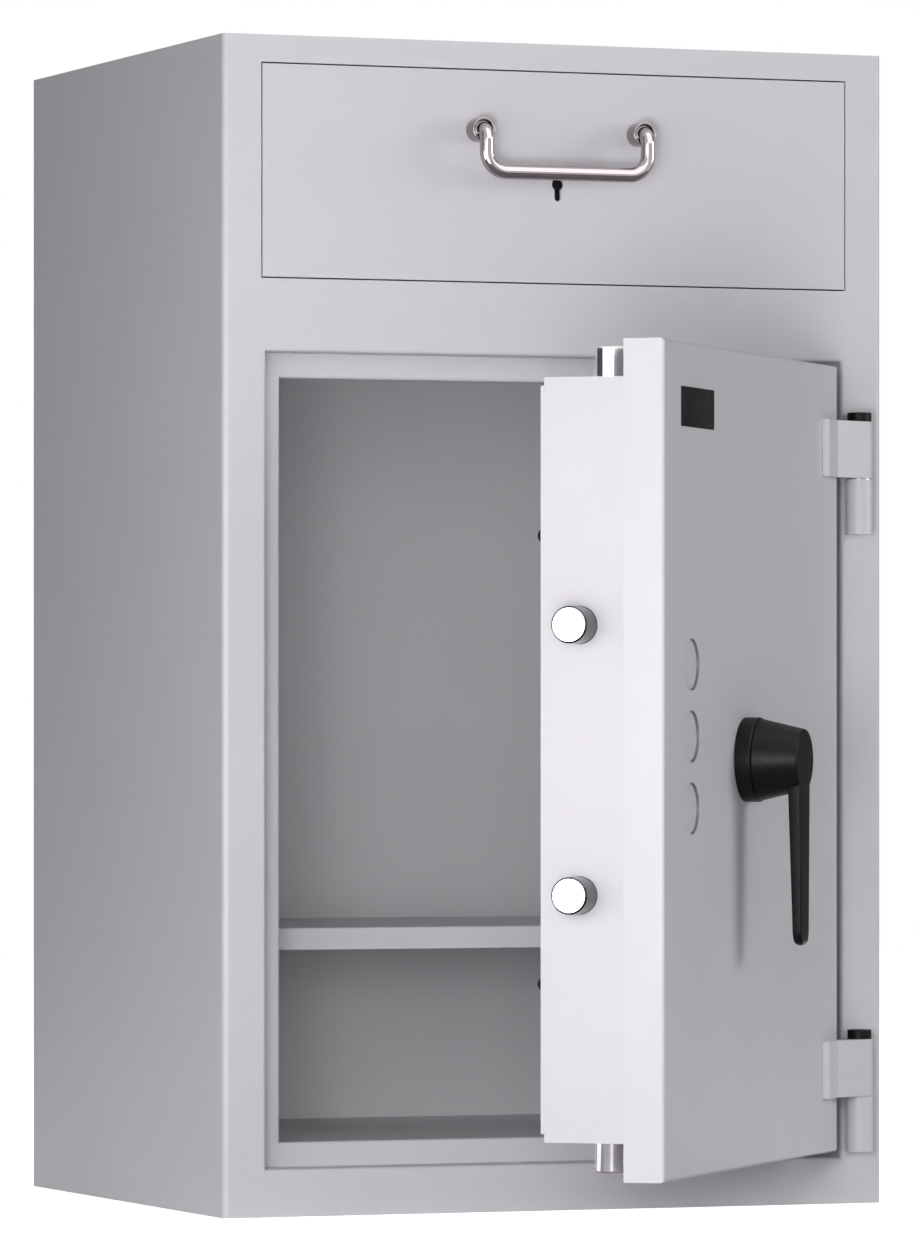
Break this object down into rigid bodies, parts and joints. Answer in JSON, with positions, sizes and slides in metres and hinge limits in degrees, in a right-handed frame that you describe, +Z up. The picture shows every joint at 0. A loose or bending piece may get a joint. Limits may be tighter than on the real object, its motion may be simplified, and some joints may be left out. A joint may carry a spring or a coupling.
{
  "type": "drop safe with deposit drawer",
  "caption": "Upright steel drop safe with a deposit drawer above a hinged door that round bolts hold shut, a stripper flap behind the drawer and a shelf inside.",
  "frame": {"origin": "centre of the cabinet's underside, door and handles not counted", "axes": "+Z up, -Y out of the front, +X to the right of a person who stands in front and looks at it"},
  "size_m": [0.6, 0.9114, 0.985],
  "materials": {
    "casing_paint": "satin light grey powder coat",
    "inner_paint": "satin light grey powder coat",
    "barrier_fill": "rough barrier concrete",
    "plain_steel": "plain machined steel",
    "bright_steel": "polished chrome plate",
    "bow_steel": "polished stainless steel",
    "black_metal": "satin black coat on cast metal",
    "black_plastic": "satin black plastic",
    "brass": "plain brass"
  },
  "bodies": {
    "cabinet": {"outer_casing": "casing_paint", "roof_panel": "casing_paint", "base_panel": "casing_paint", "rear_panel": "casing_paint", "door_frame": "casing_paint", "drawer_frame": "casing_paint", "side_filling": "barrier_fill", "rear_filling": "barrier_fill", "floor_filling": "barrier_fill", "roof_filling": "barrier_fill", "liner_sides": "inner_paint", "liner_rear": "inner_paint", "liner_floor": "inner_paint", "liner_ceiling": "inner_paint", "shelf": "inner_paint", "shelf_supports": "inner_paint", "anchor_sleeves": "plain_steel", "hinge_barrels": "casing_paint", "hinge_pins": "plain_steel", "hinge_washers": "plain_steel", "drawer_rails": "plain_steel", "stop_pins": "plain_steel", "flap_brackets": "plain_steel", "flap_pin": "plain_steel", "flap_stop": "plain_steel"},
    "door": {"leaf_pan": "casing_paint", "leaf_filling": "barrier_fill", "leaf_back_plate": "casing_paint", "blanking_plugs": "casing_paint", "hinge_blocks": "casing_paint", "hinge_caps": "black_plastic", "bolt_case": "casing_paint", "inner_cover": "casing_paint", "cover_screws": "black_metal", "door_lock": "plain_steel", "bar_guides": "plain_steel", "spindle_bush": "brass", "handle_rosette": "black_plastic"},
    "handle": {"door_handle": "black_metal", "handle_spindle": "plain_steel", "bolt_pinion": "plain_steel"},
    "side_bolts": {"side_bolts": "bright_steel", "bolt_carriage": "plain_steel"},
    "top_bolt": {"top_bolt": "bright_steel", "top_rod": "plain_steel"},
    "bottom_bolt": {"bottom_bolt": "bright_steel", "bottom_rod": "plain_steel"},
    "drawer": {"drawer_front": "casing_paint", "drawer_back_plate": "casing_paint", "drawer_tray": "inner_paint", "drawer_runners": "plain_steel", "drawer_lock": "black_metal", "drawer_handle": "bow_steel", "handle_bosses": "bow_steel", "boss_screws": "plain_steel"},
    "flap": {"stripper_flap": "plain_steel"}
  },
  "joints": [
    {"name": "door_swing", "type": "hinge", "parent": "cabinet", "child": "door", "pos_m": [0.274, -0.262, 0.38], "axis": [0, 0, 1], "range_deg": [-50, 130]},
    {"name": "handle_turn", "type": "hinge", "parent": "door", "child": "handle", "pos_m": [0.0703, -0.48609, 0.3815], "axis": [-0.766, 0.6428, 0], "range_deg": [0, 90]},
    {"name": "side_bolts_slide", "type": "slide", "parent": "door", "child": "side_bolts", "axis": [0.6428, 0.766, 0], "range_m": [0, 0.0283]},
    {"name": "top_bolt_slide", "type": "slide", "parent": "door", "child": "top_bolt", "axis": [0, 0, -1], "range_m": [0, 0.0283]},
    {"name": "bottom_bolt_slide", "type": "slide", "parent": "door", "child": "bottom_bolt", "axis": [0, 0, 1], "range_m": [0, 0.0283]},
    {"name": "drawer_slide", "type": "slide", "parent": "cabinet", "child": "drawer", "axis": [0, -1, 0], "range_m": [0, 0.23]},
    {"name": "flap_swing", "type": "hinge", "parent": "cabinet", "child": "flap", "pos_m": [0, -0.15, 0.955], "axis": [1, 0, 0], "range_deg": [0, 75]}
  ],
  "couplings": [
    {"joint": "side_bolts_slide", "follows": "handle_turn", "m_per_rad": 0.018},
    {"joint": "top_bolt_slide", "follows": "handle_turn", "m_per_rad": 0.018},
    {"joint": "bottom_bolt_slide", "follows": "handle_turn", "m_per_rad": 0.018}
  ]
}
